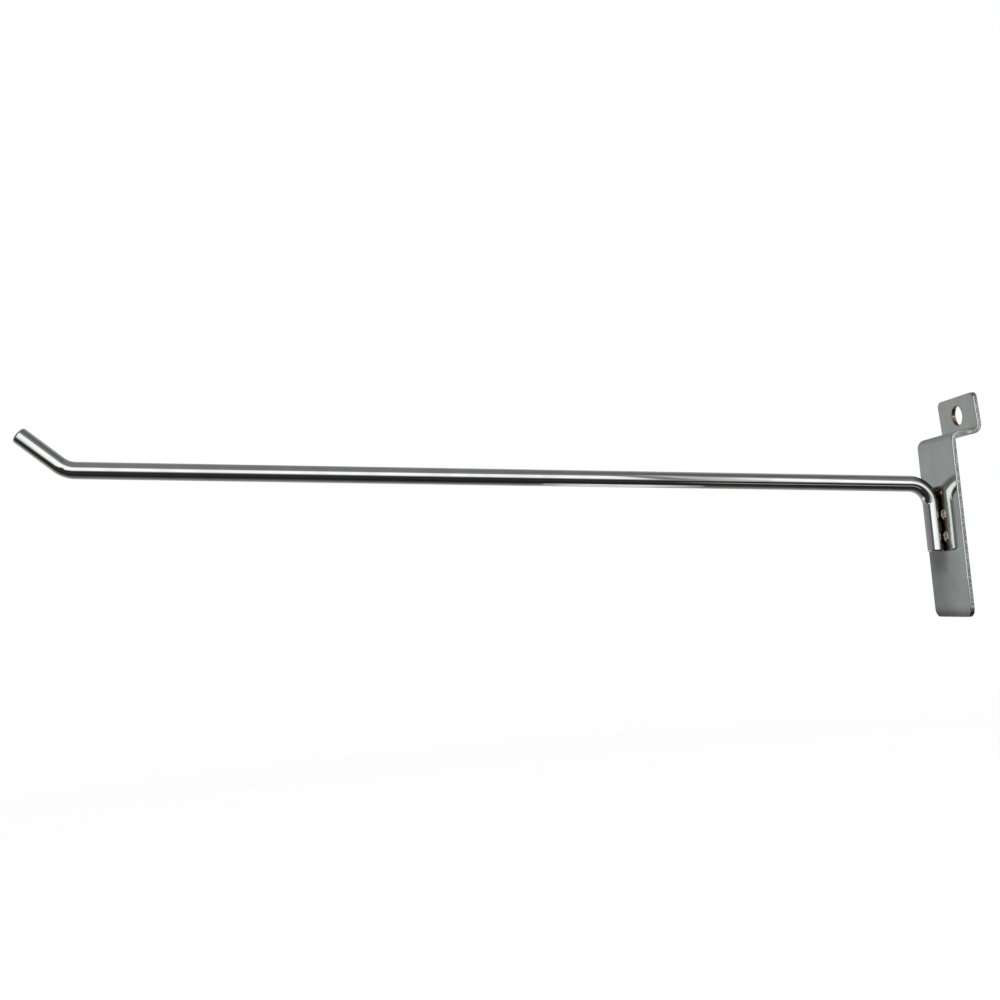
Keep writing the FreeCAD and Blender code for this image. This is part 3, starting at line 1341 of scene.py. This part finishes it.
@dataclass
class Studio:
    """A pale floor under a white world, one soft lamp, and the dark cloth that the metal mirrors."""

    middle: Vector
    cloth_patches: tuple[ClothPatch, ...]
    floor_height: float = -0.20
    floor_half: float = 8.0
    cloth_lift: float = 0.002
    cloth_half: float = 4.5
    cloth_step: float = 0.015
    cloth_rows: tuple[float, ...] = (-4.5, -1.5, -0.6, -0.30, -0.12, 0.0, 0.12, 0.30, 0.8, 1.6, 4.5)
    cells_per_row: int = 10
    cloth_steps: tuple[Point, ...] = (
        (-4.5, 0.42), (-0.60, 0.42), (-0.25, 0.38), (-0.12, 0.22), (-0.03, 0.085), (0.04, 0.030),
        (0.10, 0.018), (0.17, 0.022), (0.27, 0.042), (0.45, 0.018), (0.85, 0.09), (1.3, 0.34), (2.2, 0.60),
    )
    cloth_tone: Colour = (1.015, 1.0, 0.955)
    fold_size: Point = (0.11, 0.07)
    fold_depth: float = 0.45
    floor_colour: Colour = (0.80, 0.80, 0.80)
    floor_lift: float = 0.32
    floor_fade: Point = (0.5, 1.6)
    ambient: float = 0.62
    lamp_power: float = 14.0
    lamp_size: float = 1.2
    lamp_place: Vector = Vector((0.0, 0.3, 1.5))

    def build(self) -> None:
        """Makes the whole studio."""
        self.build_world()
        self.build_floor()
        self.build_cloth()
        self.build_lamp()

    def build_world(self) -> None:
        """White to the eye and in mirrors, and a plain soft light for everything else."""
        world = bpy.data.worlds.new("studio")
        bpy.context.scene.world = world
        world.use_nodes = True
        graph = Graph(world.node_tree)
        plain, white = (
            graph.shader("ShaderNodeBackground", {"Color": WHITE, "Strength": strength})
            for strength in (self.ambient, 1.0)
        )
        graph.finish(graph.mix(self.seen(graph), plain, white), "ShaderNodeOutputWorld")

    @staticmethod
    def seen(graph: Graph) -> Signal:
        """1 for rays from the camera and for mirrored or transmitted ones."""
        path = graph.node("ShaderNodeLightPath", {}, {})
        rays = ("Is Camera Ray", "Is Glossy Ray", "Is Transmission Ray")
        camera, mirrored, passed = (Signal(graph, path.outputs[ray]) for ray in rays)
        return camera.at_least(mirrored).at_least(passed)

    def build_floor(self) -> None:
        """The pale floor, which keeps the part's shadow and turns into the white world far out."""
        material, graph = new_material("pale_floor")
        x, y, _ = graph.axes(graph.place())
        far = (x - self.middle.x).distance(y - self.middle.y)
        matt = graph.shader("ShaderNodeBsdfDiffuse", {"Color": (*self.floor_colour, 1.0)})
        lit = graph.shader("ShaderNodeAddShader", {0: matt, 1: graph.glow(WHITE, self.floor_lift)})
        pale = graph.mix(far.fade(*self.floor_fade), lit, graph.glow(WHITE, 1.0))
        graph.finish(graph.mix(self.seen(graph), matt, pale))
        span = (-self.floor_half, self.floor_half)
        points, faces = level_grid(span, span, self.floor_height)
        mesh = bpy.data.meshes.new("floor")
        mesh.from_pydata(points, [], faces)
        mesh.materials.append(material)
        floor = add_object("floor", mesh)
        floor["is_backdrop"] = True

    def cloth_level(self, x: float, y: float) -> float:
        """How bright the cloth is at a place, dark before the part and paler under and behind it.

        Args:
            x: the place's X.
            y: the place's Y.

        Returns:
            The brightness, 1 for white.
        """
        value = self.cloth_steps[-1][1]
        for (near, dim), (far, bright) in zip(self.cloth_steps, self.cloth_steps[1:]):
            if y <= far:
                value = dim + (bright - dim) * ease((y - near) / (far - near))
                break
        for patch in self.cloth_patches:
            value += (patch.level - value) * patch.share(x, y)
        folds = noise.noise(Vector((x / self.fold_size[0], y / self.fold_size[1], 0.0)))
        return value * (1.0 + self.fold_depth * folds)

    def build_cloth(self) -> None:
        """The cloth on the floor, dark before the part, which draws the dark line along bright metal."""
        xs = [self.cloth_half * share ** 3 for share in spaced(-1.0, 1.0 + 1e-9, self.cloth_step)]
        ys = []
        for near, far in zip(self.cloth_rows, self.cloth_rows[1:]):
            ys += spaced(near, far, (far - near) / self.cells_per_row)
        points, faces = level_grid(xs, ys, self.floor_height + self.cloth_lift)
        levels = [self.cloth_level(point.x, point.y) for point in points]
        mirror_only("dark_cloth", points, faces, levels, self.cloth_tone)

    def build_lamp(self) -> None:
        """The soft lamp overhead, which mirrors don't show."""
        lamp = bpy.data.lights.new("soft_lamp", "AREA")
        lamp.energy = self.lamp_power
        lamp.size = self.lamp_size
        holder = add_object("soft_lamp", lamp)
        holder.location = self.middle + self.lamp_place
        holder.visible_glossy = False


@dataclass(frozen=True)
class View:
    """The camera at the photograph's viewing angle."""

    place: Vector = Vector((213.31, 406.22, -8.85)) * MM
    forward: Vector = Vector((-0.1412, -0.9871, 0.0752))
    right: Vector = Vector((-0.9872, 0.1342, -0.0848))
    focal_pixels: float = 1246.2
    frame_pixels: float = 1000.0
    sensor: float = 36.0
    clip: Point = (0.01, 40.0)

    def build(self) -> None:
        """Makes the camera."""
        data = bpy.data.cameras.new("camera")
        data.sensor_width = self.sensor
        data.lens = self.focal_pixels / self.frame_pixels * self.sensor
        data.clip_start, data.clip_end = self.clip
        camera = add_object("camera", data)
        back = -self.forward.normalized()
        side = (self.right - back * self.right.dot(back)).normalized()
        turn = Matrix((side, back.cross(side), back)).transposed().to_4x4()
        camera.matrix_world = Matrix.Translation(self.place) @ turn
        bpy.context.scene.camera = camera


# Each panel's middle, half size, soft edges at the side, top and bottom, level, and bow if it has one
TENT_PANELS = (
    # bright window on the viewer's side, with a narrow dark post in a dimmer strip
    GlowPanel(88.0, 16.2, 36.0, 18.7, 6.0, 14.0, 4.0, 1.22),
    GlowPanel(110.0, 18.0, 2.2, 32.0, 3.0, 10.0, 8.0, 0.62, 0.004),
    GlowPanel(107.1, 18.0, 1.3, 32.0, 1.6, 10.0, 8.0, 0.17, 0.004),
    # its paler neighbour, towards the wall
    GlowPanel(139.0, 6.0, 13.0, 22.0, 8.0, 14.0, 6.0, 0.35),
    # dark gap beside the window
    GlowPanel(34.0, 8.0, 13.0, 40.0, 8.0, 30.0, 6.0, 0.11),
    # dark upper wall past the tip
    GlowPanel(-16.0, 28.0, 37.0, 20.0, 8.0, 16.0, 6.0, 0.03),
    # dark ceiling over the wall
    GlowPanel(180.0, 62.0, 60.0, 10.0, 30.0, 12.0, 14.0, 0.135),
    # pale wall behind the arm
    GlowPanel(-100.0, 46.0, 45.0, 12.0, 20.0, 16.0, 10.0, 0.37),
    # paler ground that the leg and the strip's face mirror
    GlowPanel(-46.0, 0.0, 18.0, 6.0, 14.0, 8.0, 8.0, 0.31),
    GlowPanel(-72.0, 8.0, 15.0, 16.0, 6.0, 16.0, 8.0, 0.335),
)

# Each patch's middle, half size, soft edges and level
CLOTH_PATCHES = (
    # dark ground past the tip
    ClothPatch(2.9, 2.3, 2.1, 1.6, 0.3, 0.3, 0.11),
    # thin light line before the strip
    ClothPatch(-0.13, 0.250, 0.14, 0.040, 0.03, 0.03, 0.36),
)
ARM_GLOW = ClothPatch(0.102, -0.10, 0.024, 0.20, 0.030, 0.02, 0.85)
TIP_GLOW = ClothPatch(1.20, 1.50, 0.76, 1.27, 0.03, 0.26, 0.98)
WHITE_CARDS = (
    WhiteCard("card_below_arm", (0.070, 0.134), (-0.16, 0.003), ARM_GLOW, 0.25),
    WhiteCard("card_before_tip", (0.43, 1.20), (0.10, 1.50), TIP_GLOW, 0.04, -0.030),
)


def main() -> None:
    """Builds the studio, the camera and the pieces, and says what was made."""
    logging.basicConfig(level=logging.INFO, format="%(name)s: %(message)s")
    before = [list(corner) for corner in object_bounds()]
    bpy.context.scene.view_settings.view_transform = "Standard"

    middle = (Vector(before[0]) + Vector(before[1])) / 2
    Studio(middle, CLOTH_PATCHES).build()
    Tent(middle, TENT_PANELS).build()
    for card in WHITE_CARDS:
        card.build()
    View().build()

    arm = HookArm()
    strip = BackPlate()
    seam = (strip.thickness, arm.offset)
    seam_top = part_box("top_weld")[1].z
    # heat stains for the strip and the wire, each with painted crevice shade along the line of contact
    tints = [HeatTintAndShade(seam, seam_top, arm.leg_end.z, reach) for reach in (7.4 * MM, 2.2 * MM)]
    lowest = before[0][2]
    # painted shade on the strip: darker to one side, a painted shadow below the wire's foot, and darker
    # along the lower edge
    painted_shade = PaintedShade(
        side=(11.0 * MM, -9.0 * MM), height=(6.0 * MM, -4.0 * MM), side_loss=0.40,
        patch=(-5.0 * MM, arm.leg_end.z - 2.0 * MM), patch_reach=9.0 * MM, patch_loss=0.45,
        lower_edge=(lowest + 4.2 * MM, lowest + 0.3 * MM), lower_loss=0.60,
    )
    strip_plating = PlatedFinish(
        "strip_plating", colour=(0.78, 0.805, 0.785), haze=0.06, grain=(1.0, 1.0, 0.06), ripple=0.08 * MM,
        tint=tints[0], painted_shade=painted_shade,
    )
    wire_plating = PlatedFinish(
        "wire_plating", colour=(0.80, 0.805, 0.80), haze=0.03, grain=(0.05, 1.0, 1.0), ripple=0.004 * MM,
        tint=tints[1],
    )
    cut_edge = CutEdgeFinish("cut_edge").build()
    hole_wall = CutEdgeFinish("hole_wall", bright=(0.62, 0.50, 0.36), dull=(0.17, 0.115, 0.07)).build()
    strip.build(strip_plating.build(), cut_edge, hole_wall)
    bend_start = arm.route.bends()[1][0]
    marks = (
        Dent(bend_start + 0.6 * MM, radians(42.0), 0.50 * MM, 0.16 * MM),
        Dent(bend_start - 1.6 * MM, radians(40.0), 0.60 * MM, 0.05 * MM),
        Dent(bend_start + 3.2 * MM, radians(-14.0), 0.80 * MM, 0.07 * MM),
    )
    arm.build(wire_plating.build(), cut_edge, marks)

    weld_metal = WeldFinish("weld_metal", seam).build()
    rows = [(side.name.lower(), level) for side in Side for level in ("middle", "lower")]
    for number, node in enumerate(["top_weld"] + [f"{side}_{level}_weld" for side, level in rows]):
        WeldDrop(node, 3.0 + number).build(weld_metal)


if __name__ == "__main__":
    main()
